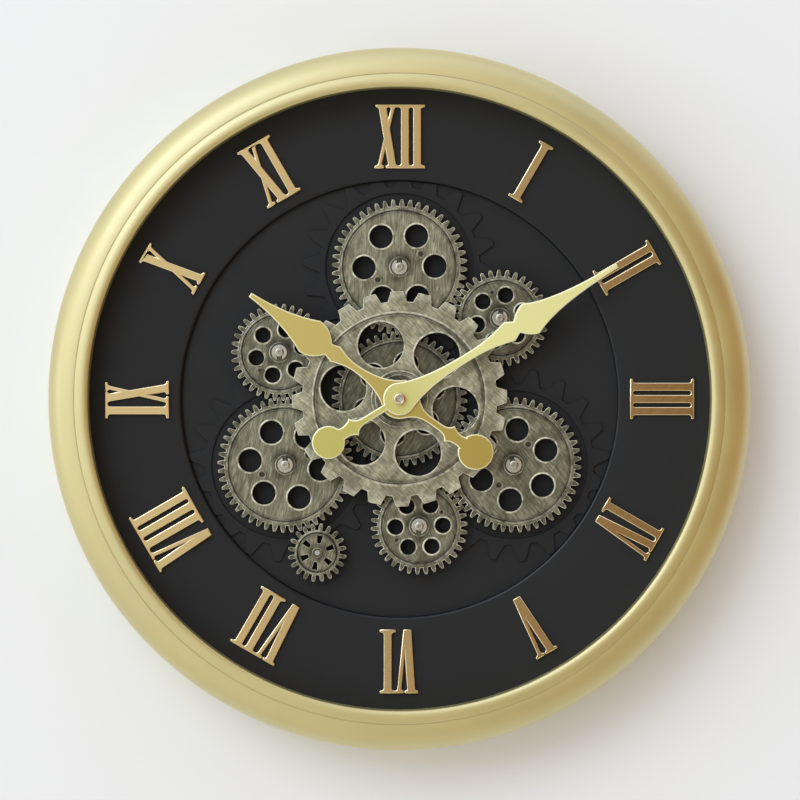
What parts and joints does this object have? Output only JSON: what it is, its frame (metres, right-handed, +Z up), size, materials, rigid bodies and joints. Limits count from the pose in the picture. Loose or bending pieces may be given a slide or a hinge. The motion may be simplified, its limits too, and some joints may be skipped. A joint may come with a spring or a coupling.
{
  "type": "gear wall clock",
  "caption": "Round wall clock: a satin gold moulded frame, black stepped dial, gold Roman numerals, bevelled gold hands and an open train of meshing pewter gears driven by a motor pinion.",
  "frame": {"origin": "centre of the hanger plate's round keyhole entry, on the plate's rear face", "axes": "+Z up, the dial faces -Y, +Y points to the wall, +X to the viewer's right"},
  "size_m": [0.46, 0.0604, 0.46],
  "materials": {
    "frame_gold": "satin champagne gold metallic paint",
    "dial_black": "matt black paint on fibreboard",
    "numeral_gold": "brushed gold plating",
    "hand_gold": "satin gold, bevelled edges",
    "hand_pale_gold": "satin pale gold, bevelled edges",
    "nut_polished": "polished",
    "gear_pewter": "antique pewter, brushed, worn bright at the edges",
    "steel": "zinc plated",
    "brass": "turned",
    "case_plastic": "fine moulded texture",
    "rubber": "matt",
    "cell_sleeve": "plain printed sleeve, bare ends",
    "circuit": "solder mask",
    "copper_wire": "enamelled wire"
  },
  "bodies": {
    "case": {"outer_frame": "frame_gold", "chapter_ring": "dial_black", "back_panel": "dial_black", "numeral_1": "numeral_gold", "numeral_2": "numeral_gold", "numeral_3": "numeral_gold", "numeral_4": "numeral_gold", "numeral_5": "numeral_gold", "numeral_6": "numeral_gold", "numeral_7": "numeral_gold", "numeral_8": "numeral_gold", "numeral_9": "numeral_gold", "numeral_10": "numeral_gold", "numeral_11": "numeral_gold", "numeral_12": "numeral_gold", "dial_clips": "steel", "dial_clip_screws": "steel", "wall_bumpers": "rubber", "hanger_plate": "steel", "hanger_screws": "steel", "gear_posts": "steel", "post_clips": "steel", "post_nuts": "steel", "centre_bush": "brass", "stem_washer": "brass", "stem_nut": "brass", "stem": "brass", "movement_case": "case_plastic", "movement_cover": "case_plastic", "movement_cell": "cell_sleeve", "movement_contacts": "steel", "circuit_board": "circuit", "coil": "copper_wire", "drive_case": "case_plastic", "drive_cover": "case_plastic", "drive_motor": "steel", "drive_cells": "cell_sleeve", "drive_contacts": "steel", "drive_screws": "steel"},
    "centre_gears": {"centre_gear": "gear_pewter", "hub_gear": "gear_pewter"},
    "large_top": {"large_gear_top": "gear_pewter"},
    "large_left": {"large_gear_left": "gear_pewter"},
    "large_right": {"large_gear_right": "gear_pewter"},
    "medium_top": {"medium_gear_top": "gear_pewter"},
    "medium_left": {"medium_gear_left": "gear_pewter"},
    "medium_bottom": {"medium_gear_bottom": "gear_pewter"},
    "pinion": {"drive_pinion": "gear_pewter", "drive_shaft": "steel"},
    "minute": {"minute_shaft": "steel", "minute_hand": "hand_pale_gold", "hand_nut": "nut_polished"},
    "hour": {"hour_tube": "brass", "hour_hand": "hand_gold"},
    "setting": {"minute_wheel": "brass", "setting_knob": "case_plastic"}
  },
  "joints": [
    {"name": "centre_gear_spin", "type": "hinge", "parent": "case", "child": "centre_gears", "pos_m": [0, 0, -0.2], "axis": [0, 1, 0], "continuous": true},
    {"name": "large_top_spin", "type": "hinge", "parent": "case", "child": "large_top", "pos_m": [0, 0, -0.1136], "axis": [0, 1, 0], "continuous": true},
    {"name": "large_left_spin", "type": "hinge", "parent": "case", "child": "large_left", "pos_m": [-0.07482, 0, -0.2432], "axis": [0, 1, 0], "continuous": true},
    {"name": "large_right_spin", "type": "hinge", "parent": "case", "child": "large_right", "pos_m": [0.07482, 0, -0.2432], "axis": [0, 1, 0], "continuous": true},
    {"name": "medium_top_spin", "type": "hinge", "parent": "case", "child": "medium_top", "pos_m": [0.06576, 0, -0.1471], "axis": [0, 1, 0], "continuous": true},
    {"name": "medium_left_spin", "type": "hinge", "parent": "case", "child": "medium_left", "pos_m": [-0.07869, 0, -0.1695], "axis": [0, 1, 0], "continuous": true},
    {"name": "medium_bottom_spin", "type": "hinge", "parent": "case", "child": "medium_bottom", "pos_m": [0.01293, 0, -0.28339], "axis": [0, 1, 0], "continuous": true},
    {"name": "pinion_spin", "type": "hinge", "parent": "case", "child": "pinion", "pos_m": [-0.05389, 0, -0.30071], "axis": [0, 1, 0], "continuous": true},
    {"name": "minute_spin", "type": "hinge", "parent": "case", "child": "minute", "pos_m": [0, 0, -0.2], "axis": [0, 1, 0], "continuous": true},
    {"name": "hour_spin", "type": "hinge", "parent": "case", "child": "hour", "pos_m": [0, 0, -0.2], "axis": [0, 1, 0], "continuous": true},
    {"name": "setting_spin", "type": "hinge", "parent": "case", "child": "setting", "pos_m": [0.01039, 0, -0.194], "axis": [0, 1, 0], "continuous": true}
  ],
  "couplings": [
    {"joint": "large_top_spin", "follows": "centre_gear_spin", "ratio": -1},
    {"joint": "large_left_spin", "follows": "centre_gear_spin", "ratio": -1},
    {"joint": "large_right_spin", "follows": "centre_gear_spin", "ratio": -1},
    {"joint": "medium_top_spin", "follows": "centre_gear_spin", "ratio": 1.4118},
    {"joint": "medium_left_spin", "follows": "centre_gear_spin", "ratio": 1.4118},
    {"joint": "medium_bottom_spin", "follows": "centre_gear_spin", "ratio": 1.4118},
    {"joint": "pinion_spin", "follows": "centre_gear_spin", "ratio": 2.4},
    {"joint": "hour_spin", "follows": "minute_spin", "ratio": 0.083333},
    {"joint": "setting_spin", "follows": "minute_spin", "ratio": -0.33333}
  ]
}
